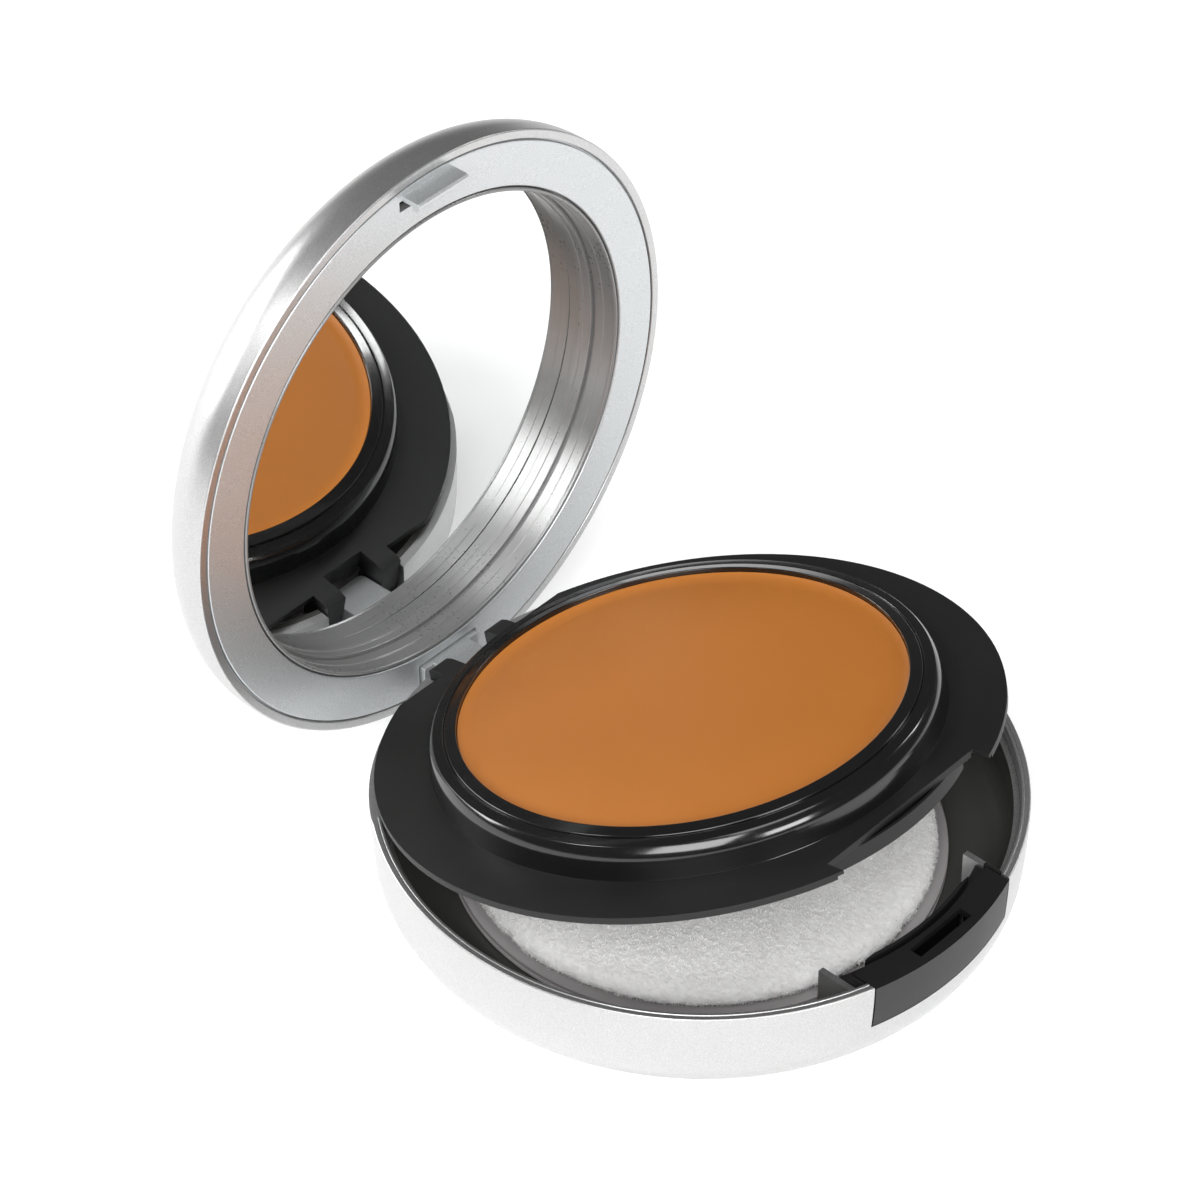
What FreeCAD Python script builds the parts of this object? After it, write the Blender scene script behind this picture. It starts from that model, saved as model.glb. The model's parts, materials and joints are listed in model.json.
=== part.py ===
import FreeCAD, Part
import math
import os
import Sketcher
from FreeCAD import Placement, Rotation, Vector

# Round powder compact: base, hinged pan tray, hinged mirror lid and a push-button latch.
# Row frame: origin at the centre of the underside, +Z up, +Y towards the hinge, -Y the latch.
# Every piece is drawn with the compact closed and then turned about the hinge pin to the open pose.

SIZES = [
    ("body_radius", 40.1, "outer radius of base and lid"),
    ("base_height", 14.0, "underside to the base's rim"),
    ("shell_wall", 1.2, "wall of both outer shells"),
    ("base_side_radius", 100.0, "side curve of the base in section"),
    ("base_corner_radius", 6.5, "lower corner of the base in section"),
    ("label_radius", 24.0, "blank label under the base"),
    ("label_thickness", 0.15, "blank label under the base"),
    ("rim_gap", 0.2, "closed lid rim above the base rim"),
    ("lid_side_height", 1.8, "straight side of the lid above its rim"),
    ("lid_corner_radius", 7.3, "upper corner of the lid in section"),
    ("lid_crown_radius", 700.0, "crown of the lid in section"),
    ("fit_gap", 0.02, "bonded pieces that sit inside a shell"),
    ("hinge_setback", 3.9, "hinge axis in from the outer radius"),
    ("hinge_drop", 6.0, "hinge axis below the base rim"),
    ("pin_radius", 0.75, "hinge pin"),
    ("pin_clearance", 0.05, "radial clearance of turning knuckles on the pin"),
    ("knuckle_radius", 2.0, "all hinge knuckles"),
    ("knuckle_gap", 0.2, "side clearance between knuckles"),
    ("sweep_gap", 0.1, "clearance of faces that swing past each other"),
    ("arm_half_width", 3.2, "narrow part of the lid arm"),
    ("arm_root_half_width", 4.9, "wide root of the lid arm"),
    ("arm_root_gap", 0.15, "wide root of the lid arm above the tray flange"),
    ("arm_plate_wing", 2.4, "plate behind the frame, beyond the root on each side"),
    ("arm_plate_front", 0.5, "plate behind the frame, in front of the root"),
    ("ear_width", 3.2, "each tray ear"),
    ("ear_crest", 5.35, "rounded back of the ears from the hinge axis"),
    ("base_knuckle_width", 2.5, "each base knuckle"),
    ("arm_reach_low", 4.3, "narrow rear notch: its floor below the hinge axis"),
    ("ear_reach_low", 2.2, "wide rear notch: its floor below the hinge axis"),
    ("ledge_width", 0.8, "ledge that carries the tray flange"),
    ("well_floor", 3.5, "puff well floor above the underside"),
    ("liner_wall", 1.2, "floor of the puff well"),
    ("well_corner_radius", 5.0, "inner corner of the puff well"),
    ("liner_foot_radius", 26.0, "ring foot under the puff well"),
    ("seat_gap", 0.07, "tray flange above its ledge"),
    ("flange_clearance", 0.35, "tray flange inside the base rim"),
    ("flange_thickness", 0.93, "tray flange"),
    ("flange_drop", 0.7, "tray flange top below the base rim"),
    ("tray_shift", 0.27, "tray flange, ring and pan set forwards of the base's centre"),
    ("flange_rear_inset", 0.7, "straight rear edge of the flange in front of the hinge axis"),
    ("flange_front_inset", 4.9, "straight edge of the front notch in from the shell's inside"),
    ("front_notch_gap", 0.3, "front notch of the tray beside the latch housing"),
    ("skirt_gap", 0.45, "double skirt under the flange, inside the latch housing"),
    ("skirt_depth", 2.07, "double skirt below the flange"),
    ("skirt_wall", 0.45, "walls of the double skirt"),
    ("skirt_space", 0.75, "hollow between the two skirt walls"),
    ("ring_wall", 2.9, "pan ring at the flange, beyond the pan"),
    ("ring_draft", 0.15, "pan ring side, drawn in"),
    ("ring_side", 2.2, "straight side of the pan ring"),
    ("ring_shoulder_in", 0.9, "pan ring shoulder, across"),
    ("ring_shoulder_radius", 2.6, "pan ring shoulder"),
    ("ring_top", 4.3, "pan ring shoulder above the flange"),
    ("ring_land_rise", 0.25, "pan ring land, rise inwards"),
    ("ring_land_width", 1.1, "pan ring land"),
    ("ring_groove", 0.22, "fine groove inside the land"),
    ("lip_reach", 1.1, "opening over the cream, in from the pan"),
    ("lip_height", 5.05, "top of the inner lip above the flange"),
    ("lip_thickness", 1.05, "inner lip over the pan rim"),
    ("lip_edge", 0.15, "broken edge of the inner lip"),
    ("pan_radius", 28.6, "metal pan"),
    ("pan_wall", 0.5, "metal pan"),
    ("pan_clearance", 0.1, "metal pan inside its ring"),
    ("adhesive_thickness", 0.2, "adhesive disc under the pan"),
    ("adhesive_inset", 4.0, "adhesive disc inside the pan's outside"),
    ("cream_drop", 0.6, "cream surface below the lip"),
    ("cream_clearance", 0.05, "cream inside the pan and the lip"),
    ("frame_clearance", 0.25, "groove between the lid shell and the mirror frame"),
    ("frame_thickness", 1.2, "mirror frame"),
    ("frame_opening_inset", 1.42, "opening of the mirror frame in front of the hinge knuckles"),
    ("bezel_gap", 0.23, "groove between frame and bezel"),
    ("bezel_bead", 0.5, "bead of the bezel, across"),
    ("bezel_flange", 0.75, "bezel flange behind the frame"),
    ("bezel_step_depth", 3.8, "bezel step below the lid rim"),
    ("bezel_step", 0.55, "bezel step, across"),
    ("bezel_wall", 0.95, "bezel wall above the flange"),
    ("mirror_depth", 5.65, "mirror face below the lid rim"),
    ("mirror_overlap", 0.72, "mirror glass beyond the frame's opening"),
    ("mirror_thickness", 1.2, "mirror glass"),
    ("mirror_pad_radius", 26.0, "adhesive pad behind the mirror"),
    ("hook_half_width", 4.2, "latch hook on the mirror frame"),
    ("hook_setback", 2.25, "hook outer face in from the body radius"),
    ("hook_thickness", 0.7, "stem of the hook"),
    ("hook_length", 2.8, "hook below the lid rim"),
    ("barb_reach", 0.5, "barb beyond the stem"),
    ("barb_height", 1.1, "barb, tip height"),
    ("hook_window", 1.4, "core hole in the frame inside the hook"),
    ("latch_bite", 0.25, "barb under the button's ledge"),
    ("latch_side_gap", 0.45, "slot beside the hook"),
    ("button_half_width", 12.2, "latch button"),
    ("button_height", 6.25, "latch button, visible face"),
    ("button_drop", 0.2, "button top below the base rim"),
    ("button_plate", 0.9, "top plate of the button"),
    ("button_wall", 1.2, "front wall of the button"),
    ("button_ledge", 0.65, "catch ledge, from slot to the button's back"),
    ("button_travel", 0.6, "push of the button"),
    ("button_gap", 0.2, "clearance around the button"),
    ("button_lip", 0.8, "lip that keeps the button in its bay"),
    ("button_lip_setback", 0.4, "lip inside the shell's inner wall"),
    ("slot_clearance", 0.2, "slot outside the hook when the button is pressed"),
    ("slot_depth", 1.8, "cut of the slot below the button's top"),
    ("housing_wall", 0.4, "latch housing"),
    ("housing_back_gap", 0.15, "pressed button in front of the housing's back wall"),
    ("housing_floor", 0.6, "latch housing"),
    ("bay_wall", 0.8, "silver side walls of the latch bay"),
    ("bay_wall_gap", 0.1, "housing inside the bay walls"),
    ("bay_wall_length", 8.2, "inner end of the bay walls in from the shell's inside"),
    ("bay_wall_rise", 0.45, "bay walls above the tray ledge, sunk in the flange"),
    ("shelf_overlap", 0.3, "corner shelves of the housing under the button's top plate"),
    ("relief_fore", 12.2, "rear rim starts to fall this far in front of the hinge axis"),
    ("relief_slope", 0.18, "fall of the rear rim for each millimetre"),
    ("spring_thickness", 0.2, "leaf spring"),
    ("spring_radius", 9.4, "leaf spring"),
    ("spring_height", 2.6, "leaf spring"),
    ("spring_lift", 0.4, "leaf spring above the button's lip"),
    ("puff_gap", 0.1, "puff inside the bay walls"),
    ("puff_backing", 1.7, "smooth lower layer of the puff"),
    ("puff_pile", 2.9, "flocked upper layer of the puff"),
    ("puff_inset", 0.9, "flocked layer inside the lower one"),
    ("tray_open_angle", 13.67, "tray above closed, in degrees"),
    ("lid_open_angle", 91.28, "lid above closed, in degrees"),
]

doc = FreeCAD.newDocument("compact")
sheet = doc.addObject("Spreadsheet::Sheet", "sizes")
for row, (alias, number, meaning) in enumerate(SIZES, start=1):
    sheet.set(f"A{row}", meaning)
    sheet.set(f"B{row}", str(number))
    sheet.setAlias(f"B{row}", alias)
doc.recompute()


class Size:
    """A length worked out from the sheet: its number now, and the text FreeCAD binds."""

    def __init__(self, number, text):
        self.number = number
        self.text = text

    def __add__(self, other):
        other = as_size(other)
        return Size(self.number + other.number, f"({self.text} + {other.text})")

    def __sub__(self, other):
        other = as_size(other)
        return Size(self.number - other.number, f"({self.text} - {other.text})")

    def __mul__(self, other):
        other = as_size(other)
        return Size(self.number * other.number, f"({self.text} * {other.text})")

    def __truediv__(self, other):
        other = as_size(other)
        return Size(self.number / other.number, f"({self.text} / {other.text})")

    def __neg__(self):
        return Size(-self.number, f"(-1 * {self.text})")

    def root(self):
        return Size(math.sqrt(self.number), f"sqrt({self.text})")


def as_size(thing):
    return thing if isinstance(thing, Size) else Size(float(thing), str(float(thing)))


def side(long_side, short_side):
    """The other side of a right triangle."""
    return (long_side * long_side - short_side * short_side).root()


class Sizes:
    """sizes.NAME is the sheet's cell of that name."""

    def __getattr__(self, alias):
        return Size(float(sheet.get(alias)), f"sizes.{alias}")


sizes = Sizes()

# Levels and radii that several pieces share, closed pose.
rim = sizes.base_height
lid_rim = rim + sizes.rim_gap
hinge_y = sizes.body_radius - sizes.hinge_setback
hinge_z = rim - sizes.hinge_drop
inner_radius = sizes.body_radius - sizes.shell_wall
flange_top = rim - sizes.flange_drop
flange_bottom = flange_top - sizes.flange_thickness
ledge_top = flange_bottom - sizes.seat_gap
pan_low = flange_top + sizes.adhesive_thickness
well_radius = inner_radius - sizes.ledge_width
knuckle_front = hinge_y - sizes.knuckle_radius
knuckle_back = hinge_y + sizes.knuckle_radius
ear_inner = sizes.arm_half_width + sizes.knuckle_gap
ear_outer = ear_inner + sizes.ear_width
base_knuckle_inner = ear_outer + sizes.knuckle_gap
base_knuckle_outer = base_knuckle_inner + sizes.base_knuckle_width
arm_notch_half = ear_inner
button_top = rim - sizes.button_drop
button_bottom = button_top - sizes.button_height
notch_floor = button_bottom - sizes.button_gap
notch_half_width = sizes.button_half_width + sizes.button_gap
hook_out = sizes.body_radius - sizes.hook_setback
hook_in = hook_out - sizes.hook_thickness
barb_tip = hook_in - sizes.barb_reach
hook_bottom = lid_rim - sizes.hook_length
slot_in = barb_tip + sizes.latch_bite
slot_out = hook_out + sizes.button_travel + sizes.slot_clearance
button_back = slot_in - sizes.button_ledge
housing_out = button_back - sizes.button_travel - sizes.housing_back_gap
housing_in = housing_out - sizes.housing_wall
housing_top_of_floor = notch_floor - sizes.button_lip
housing_bottom = housing_top_of_floor - sizes.housing_floor
housing_half_out = notch_half_width + sizes.housing_wall
bay_inner_half = housing_half_out + sizes.bay_wall_gap
bay_outer_half = bay_inner_half + sizes.bay_wall
front_notch_half_width = housing_half_out + sizes.front_notch_gap
flange_front = inner_radius - sizes.flange_front_inset
flange_rear = hinge_y - sizes.flange_rear_inset
skirt_radius = housing_in - sizes.skirt_gap
bay_wall_inner = inner_radius - sizes.bay_wall_length
puff_radius = bay_wall_inner - sizes.puff_gap
ring_radius = sizes.pan_radius + sizes.ring_wall
lip_radius = sizes.pan_radius - sizes.lip_reach
frame_opening = knuckle_front - sizes.frame_opening_inset
mirror_radius = frame_opening + sizes.mirror_overlap
latch_step = flange_front + sizes.button_gap
shelf_front = latch_step + sizes.button_travel + sizes.shelf_overlap
shelf_bottom = ledge_top - sizes.housing_wall
bay_wall_top = ledge_top + sizes.bay_wall_rise
past = sizes.shell_wall * 2          # how far a cutting tool runs past what it cuts


def bind(thing, **values):
    """Tie properties to the sheet; a double underscore stands for a dot."""
    for name, value in values.items():
        thing.setExpression(name.replace("__", "."), as_size(value).text)


def place(thing, across, along, up):
    bind(thing, Placement__Base__x=across, Placement__Base__y=along, Placement__Base__z=up)


def block(name, low, high):
    """A box between two corners, each (x, y, z)."""
    thing = doc.addObject("Part::Box", name)
    low = [as_size(value) for value in low]
    high = [as_size(value) for value in high]
    bind(thing, Length=high[0] - low[0], Width=high[1] - low[1], Height=high[2] - low[2])
    place(thing, *low)
    return thing


def disc(name, radius, bottom, top, centre_y=0.0):
    """An upright cylinder."""
    thing = doc.addObject("Part::Cylinder", name)
    bottom = as_size(bottom)
    bind(thing, Radius=radius, Height=as_size(top) - bottom)
    place(thing, 0, centre_y, bottom)
    return thing


def barrel(name, radius, left, right):
    """A cylinder along the hinge axis."""
    thing = doc.addObject("Part::Cylinder", name)
    thing.Placement = Placement(Vector(), Rotation(Vector(0, 1, 0), 90))
    left = as_size(left)
    bind(thing, Radius=radius, Height=as_size(right) - left)
    place(thing, left, hinge_y, hinge_z)
    return thing


def cut(name, base, tool):
    thing = doc.addObject("Part::Cut", name)
    thing.Base, thing.Tool = base, tool
    return thing


def fuse(name, *pieces):
    thing = doc.addObject("Part::MultiFuse", name)
    thing.Shapes = list(pieces)
    return thing


def shared(name, *pieces):
    thing = doc.addObject("Part::MultiCommon", name)
    thing.Shapes = list(pieces)
    return thing


def pin_down(sketch, index, point, across, up):
    """Fix one end of an edge by its distances from the sketch's axes."""
    for kind, axis, value in (("DistanceX", -2, as_size(across)), ("DistanceY", -1, as_size(up))):
        if abs(value.number) < 1e-9:
            sketch.addConstraint(Sketcher.Constraint("PointOnObject", index, point, axis))
            continue
        ends = (-1, 1, index, point) if value.number > 0 else (index, point, -1, 1)
        size = value if value.number > 0 else -value
        added = sketch.addConstraint(Sketcher.Constraint(kind, *ends, size.number))
        sketch.setExpression(f"Constraints[{added}]", size.text)


def outline(body, plane, corners):
    """Sketch a closed outline on one of the body's planes.

    A corner is (across, up); the edge that leads to it is straight, or an arc when the corner
    also gives (across, up, radius, centre_across, centre_up).
    """
    sketch = body.newObject("Sketcher::SketchObject", body.Name + "_outline")
    planes = [f for f in body.Origin.OriginFeatures if f.Role == plane]
    sketch.AttachmentSupport = (planes[0], [""])
    sketch.MapMode = "FlatFace"
    count = len(corners)
    for index in range(count):
        start, end = corners[index], corners[(index + 1) % count]
        a = Vector(as_size(start[0]).number, as_size(start[1]).number, 0)
        b = Vector(as_size(end[0]).number, as_size(end[1]).number, 0)
        if len(end) == 2:
            sketch.addGeometry(Part.LineSegment(a, b))
            continue
        centre = Vector(as_size(end[3]).number, as_size(end[4]).number, 0)
        middle = (a + b) * 0.5 - centre
        if middle.Length < 1e-6:
            middle = Vector((b - a).y, -(b - a).x, 0)
        middle = centre + middle.normalize() * as_size(end[2]).number
        sketch.addGeometry(Part.Arc(a, middle, b))
    # an arc is stored counter-clockwise, so its ends are matched to the corners by place
    ends = []
    for index in range(count):
        a = Vector(as_size(corners[index][0]).number, as_size(corners[index][1]).number, 0)
        first = sketch.getPoint(index, 1)
        ends.append((1, 2) if (first - a).Length < 1e-5 else (2, 1))
    for index in range(count):
        after = (index + 1) % count
        joint = Sketcher.Constraint("Coincident", index, ends[index][1], after, ends[after][0])
        sketch.addConstraint(joint)
        pin_down(sketch, index, ends[index][0], corners[index][0], corners[index][1])
        corner = corners[after]
        if len(corner) > 2:
            radius = as_size(corner[2])
            added = sketch.addConstraint(Sketcher.Constraint("Radius", index, radius.number))
            sketch.setExpression(f"Constraints[{added}]", radius.text)
    return sketch


def turned(name, corners):
    """A solid of revolution about Z from an outline of (radius, height) corners."""
    body = doc.addObject("PartDesign::Body", name)
    sketch = outline(body, "XZ_Plane", corners)
    spin = body.newObject("PartDesign::Revolution", name + "_spin")
    spin.Profile = sketch
    spin.ReferenceAxis = (sketch, ["V_Axis"])
    spin.Angle = 360
    sketch.Visibility = False
    return body


def puck(name, radius, bottom, top):
    """A round plate as a body of its own, free to be turned with its group."""
    return turned(name, [(0, bottom), (radius, bottom), (radius, top), (0, top)])


def slab(name, half_width, corners):
    """A prism across X from an outline of (y, z) corners."""
    body = doc.addObject("PartDesign::Body", name)
    sketch = outline(body, "YZ_Plane", corners)
    pad = body.newObject("PartDesign::Pad", name + "_pad")
    pad.Profile = sketch
    pad.Midplane = True
    bind(pad, Length=half_width * 2)
    sketch.Visibility = False
    return body


def pair(name, make):
    """The same piece on the right and on the left."""
    return [make(f"{name}_right", 1), make(f"{name}_left", -1)]


def beside(name, inner, outer, low, high):
    """Two boxes mirrored in x, from x = inner to x = outer; low and high are (y, z)."""
    def make(label, sign):
        near, far = (inner, outer) if sign > 0 else (-outer, -inner)
        return block(label, (near, *low), (far, *high))
    return pair(name, make)


def barrels(name, radius, inner, outer):
    """Two cylinders on the hinge axis, mirrored in x."""
    def make(label, sign):
        near, far = (inner, outer) if sign > 0 else (-outer, -inner)
        return barrel(label, radius, near, far)
    return pair(name, make)


# ---- base ---------------------------------------------------------------------------------

def base_section(inset):
    """Side and corner arcs of the base's section, moved inwards by a wall: rim down to foot."""
    side_centre = sizes.body_radius - sizes.base_side_radius
    reach = sizes.base_side_radius - sizes.base_corner_radius
    corner_across = side_centre + side(reach, rim - sizes.base_corner_radius)
    side_radius = sizes.base_side_radius - inset
    corner_radius = sizes.base_corner_radius - inset
    share = side_radius / reach
    join_across = side_centre + (corner_across - side_centre) * share
    join_up = rim - (rim - sizes.base_corner_radius) * share
    return [
        (side_centre + side_radius, rim),
        (join_across, join_up, side_radius, side_centre, rim),
        (corner_across, as_size(inset), corner_radius, corner_across, sizes.base_corner_radius),
    ]


def base_form(name):
    """The base's outer form as a solid lump."""
    return turned(name, [(0, rim)] + base_section(as_size(0)) + [(0, 0)])


def inner_form(name):
    """The room inside the base shell as a solid lump, a fit gap smaller."""
    inset = sizes.shell_wall + sizes.fit_gap
    return turned(name, [(0, rim)] + base_section(inset) + [(0, inset)])


def make_rear_relief(owner):
    """The rim falls away towards the hinge, so that the flange and the lid swing past it."""
    front = hinge_y - sizes.relief_fore
    back = sizes.body_radius + past
    fall = (back - front) * sizes.relief_slope
    return slab(owner + "_rear_relief", sizes.body_radius, [
        (front, rim), (back, rim - fall), (back, rim + past), (front, rim + past)])


def make_base_shell():
    outside = base_section(as_size(0))
    inside = base_section(sizes.shell_wall)
    inside_back = [
        (0, sizes.shell_wall),
        inside[2][:2],
        (*inside[1][:2], *inside[2][2:]),
        (*inside[0][:2], *inside[1][2:]),
    ]
    bowl = turned("shell_bowl", outside + [(0, 0)] + inside_back)
    front = block("shell_front_notch", (-notch_half_width, -(sizes.body_radius + past), notch_floor),
                  (notch_half_width, -bay_wall_inner, rim + past))
    wide = block("shell_wide_notch", (-base_knuckle_inner, knuckle_front, hinge_z - sizes.ear_reach_low),
                 (base_knuckle_inner, sizes.body_radius + past, rim + past))
    narrow = block("shell_arm_notch", (-arm_notch_half, knuckle_front, hinge_z - sizes.arm_reach_low),
                   (arm_notch_half, sizes.body_radius + past, rim + past))
    relief = make_rear_relief("shell")
    recess = disc("label_recess", sizes.label_radius + sizes.sweep_gap, -past, sizes.label_thickness)
    return cut("base_shell", bowl, fuse("shell_cuts", front, wide, narrow, relief, recess))


def make_base_label():
    return disc("base_label", sizes.label_radius, 0, sizes.label_thickness)


def make_base_liner():
    """Ledge for the tray, puff well, latch bay walls and the outer hinge knuckles."""
    lump = inner_form("liner_lump")
    corner = sizes.well_corner_radius
    corner_up = sizes.well_floor + corner
    corner_across = well_radius - corner
    well = turned("liner_well", [
        (0, rim + past), (0, sizes.well_floor), (corner_across, sizes.well_floor),
        (well_radius, corner_up, corner, corner_across, corner_up),
        (well_radius, rim + past),
    ])
    above = disc("liner_above", sizes.body_radius, ledge_top, rim + past)
    under = disc("liner_under", sizes.liner_foot_radius, 0, sizes.well_floor - sizes.liner_wall)
    bowl = cut("liner_bowl", lump, fuse("liner_hollow", well, above, under))
    blocks = beside("liner_knuckle_block", base_knuckle_inner, base_knuckle_outer,
                    (knuckle_front, sizes.well_floor - sizes.liner_wall), (knuckle_back, hinge_z))
    rolls = barrels("liner_knuckle", sizes.knuckle_radius, base_knuckle_inner, base_knuckle_outer)
    walls = beside("liner_bay_wall", bay_inner_half, bay_outer_half,
                   (-sizes.body_radius, sizes.well_floor - sizes.liner_wall),
                   (-bay_wall_inner, bay_wall_top))
    whole = fuse("liner_whole", bowl, *blocks, *rolls, *walls)
    trimmed = shared("liner_trimmed", whole, inner_form("liner_limit"))
    wide = block("liner_wide_notch",
                 (-base_knuckle_inner, knuckle_front - sizes.knuckle_gap, hinge_z - sizes.ear_reach_low),
                 (base_knuckle_inner, sizes.body_radius + past, rim))
    narrow = block("liner_arm_notch", (-arm_notch_half, knuckle_front, hinge_z - sizes.arm_reach_low),
                   (arm_notch_half, sizes.body_radius + past, rim))
    bore = barrel("liner_pin_bore", sizes.pin_radius, -sizes.body_radius, sizes.body_radius)
    bay = cut("liner_bay", block("liner_bay_block",
                                 (-bay_inner_half, -sizes.body_radius, housing_bottom),
                                 (bay_inner_half, -bay_wall_inner, rim)),
              disc("liner_bay_back", housing_in, 0, rim + past))
    relief = make_rear_relief("liner")
    return cut("base_liner", trimmed, fuse("liner_cuts", wide, narrow, bore, bay, relief))


def make_hinge_pin():
    return barrel("hinge_pin", sizes.pin_radius, -base_knuckle_outer, base_knuckle_outer)


def make_latch_housing():
    """Black channel that the button slides in, with a low shelf in each rear corner."""
    half = housing_half_out
    outer = shared("housing_form", inner_form("housing_limit"),
                   block("housing_block", (-half, -sizes.body_radius, housing_bottom),
                         (half, -bay_wall_inner, button_top)))
    back = disc("housing_back", housing_in, 0, rim)
    inside_half = notch_half_width
    inside = cut("housing_inside",
                 block("housing_space", (-inside_half, -(sizes.body_radius + past), housing_top_of_floor),
                       (inside_half, -bay_wall_inner, rim)),
                 disc("housing_space_back", housing_out, 0, rim + past))
    channel = cut("housing_channel", outer, fuse("housing_cuts", back, inside))
    shelf = cut("housing_shelf",
                shared("shelf_form", inner_form("shelf_limit"),
                       block("shelf_block", (-half, -shelf_front, shelf_bottom),
                             (half, -bay_wall_inner, ledge_top))),
                disc("shelf_back", housing_in, 0, rim))
    step = block("housing_step", (-sizes.body_radius, -latch_step, ledge_top),
                 (sizes.body_radius, 0, rim + past))
    return cut("latch_housing", fuse("housing_with_shelf", channel, shelf), step)


def make_return_spring():
    """Bowed leaf between the housing's back wall and the button's front wall."""
    low = housing_top_of_floor + sizes.button_lip + sizes.spring_lift
    high = low + sizes.spring_height
    crown = inner_radius - sizes.button_gap
    centre = sizes.spring_radius - crown
    tube = cut("spring_tube", disc("spring_outside", sizes.spring_radius, low, high, centre),
               disc("spring_inside", sizes.spring_radius - sizes.spring_thickness, 0, rim, centre))
    reach = block("spring_reach", (-sizes.spring_radius, -sizes.body_radius, low),
                  (sizes.spring_radius, -(housing_out - sizes.housing_wall), high))
    return shared("return_spring", tube, reach)


def make_puff_backing():
    return disc("puff_backing", puff_radius, sizes.well_floor, sizes.well_floor + sizes.puff_backing)


def make_puff_pad():
    low = sizes.well_floor + sizes.puff_backing
    return disc("puff_pad", puff_radius - sizes.puff_inset, low, low + sizes.puff_pile)


# ---- button -------------------------------------------------------------------------------

def make_latch_button():
    """Front face flush with the base, slotted top that catches the lid's hook, retaining lip."""
    half = sizes.button_half_width
    low = notch_floor - sizes.button_lip + sizes.button_gap
    sector = shared("button_sector", base_form("button_form"),
                    block("button_block", (-half, -(sizes.body_radius + past), low),
                          (half, -bay_wall_inner, button_top)))
    back = disc("button_back", button_back, 0, rim)
    hollow = shared("button_hollow",
                    disc("button_hollow_disc", sizes.body_radius - sizes.button_wall, 0,
                         button_top - sizes.button_plate),
                    block("button_hollow_block", (-(half - sizes.button_plate), -sizes.body_radius, 0),
                          (half - sizes.button_plate, -bay_wall_inner, rim)))
    below = cut("button_below", block("button_below_block",
                                      (-(half + past), -(sizes.body_radius + past), 0),
                                      (half + past, -bay_wall_inner, button_bottom)),
                disc("button_lip_edge", inner_radius - sizes.button_lip_setback, 0, rim))
    slot_half = sizes.hook_half_width + sizes.latch_side_gap
    slot = block("button_slot", (-slot_half, -slot_out, button_top - sizes.slot_depth),
                 (slot_half, -slot_in, rim))
    corners = block("button_corners", (-sizes.body_radius, -(latch_step + sizes.button_travel),
                                       shelf_bottom - sizes.button_gap), (sizes.body_radius, 0, rim))
    over_shelf = block("button_over_shelf",
                       (-sizes.body_radius, -(shelf_front + sizes.button_travel + sizes.button_gap),
                        shelf_bottom - sizes.button_gap),
                       (sizes.body_radius, 0, button_top - sizes.button_plate))
    return cut("latch_button", sector,
               fuse("button_cuts", back, hollow, below, slot, corners, over_shelf))


# ---- tray ---------------------------------------------------------------------------------

def make_tray_frame():
    """Flanged plate on a hollow skirt, with a front notch and two hinge ears."""
    flange_radius = inner_radius - sizes.flange_clearance
    skirt_bottom = flange_bottom - sizes.skirt_depth
    skirt_inner = skirt_radius - sizes.skirt_wall * 2 - sizes.skirt_space
    plate = turned("tray_plate", [
        (0, flange_top), (0, flange_bottom), (skirt_inner, flange_bottom),
        (skirt_inner, skirt_bottom), (skirt_radius, skirt_bottom),
        (skirt_radius, flange_bottom), (flange_radius, flange_bottom),
        (flange_radius, flange_top),
    ])
    place(plate, 0, -sizes.tray_shift, 0)
    space_out = skirt_radius - sizes.skirt_wall
    space = cut("tray_space", disc("tray_space_out", space_out, skirt_bottom + sizes.skirt_wall,
                                   flange_bottom, -sizes.tray_shift),
                disc("tray_space_in", space_out - sizes.skirt_space, 0, rim, -sizes.tray_shift))
    half = front_notch_half_width
    front = block("tray_front_notch", (-half, -sizes.body_radius, flange_bottom),
                  (half, -flange_front, rim))
    rear = block("tray_rear_edge", (-sizes.body_radius / 2, flange_rear, skirt_bottom - past),
                 (sizes.body_radius / 2, sizes.body_radius, rim))
    passes = beside("tray_wall_pass", bay_inner_half - sizes.button_gap, bay_outer_half + sizes.button_gap,
                    (-sizes.body_radius, skirt_bottom - past),
                    (-(bay_wall_inner - sizes.button_gap), flange_bottom + sizes.bay_wall_rise))
    plate = cut("tray_trimmed", plate, fuse("tray_trims", space, front, rear, *passes))
    ears_front = beside("tray_ear_front", ear_inner, ear_outer, (knuckle_front, hinge_z),
                        (hinge_y, flange_top))
    ears_back = beside("tray_ear_back", ear_inner, ear_outer, (hinge_y, hinge_z),
                       (knuckle_back, flange_top))
    crest = barrel("tray_ear_crest", sizes.ear_crest, -ear_outer, ear_outer)
    ears_back = [shared(ear.Name + "_round", ear, crest) for ear in ears_back]
    rolls = barrels("tray_ear_roll", sizes.knuckle_radius, ear_inner, ear_outer)
    whole = fuse("tray_whole", plate, *ears_front, *ears_back, *rolls)
    gap = block("tray_arm_gap", (-ear_inner, knuckle_front - sizes.knuckle_gap, skirt_bottom - past),
                (ear_inner, sizes.body_radius, rim))
    bore = barrel("tray_pin_bore", sizes.pin_radius + sizes.pin_clearance, -ear_outer, ear_outer)
    return cut("tray_frame", whole, fuse("tray_cuts", gap, bore))


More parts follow.
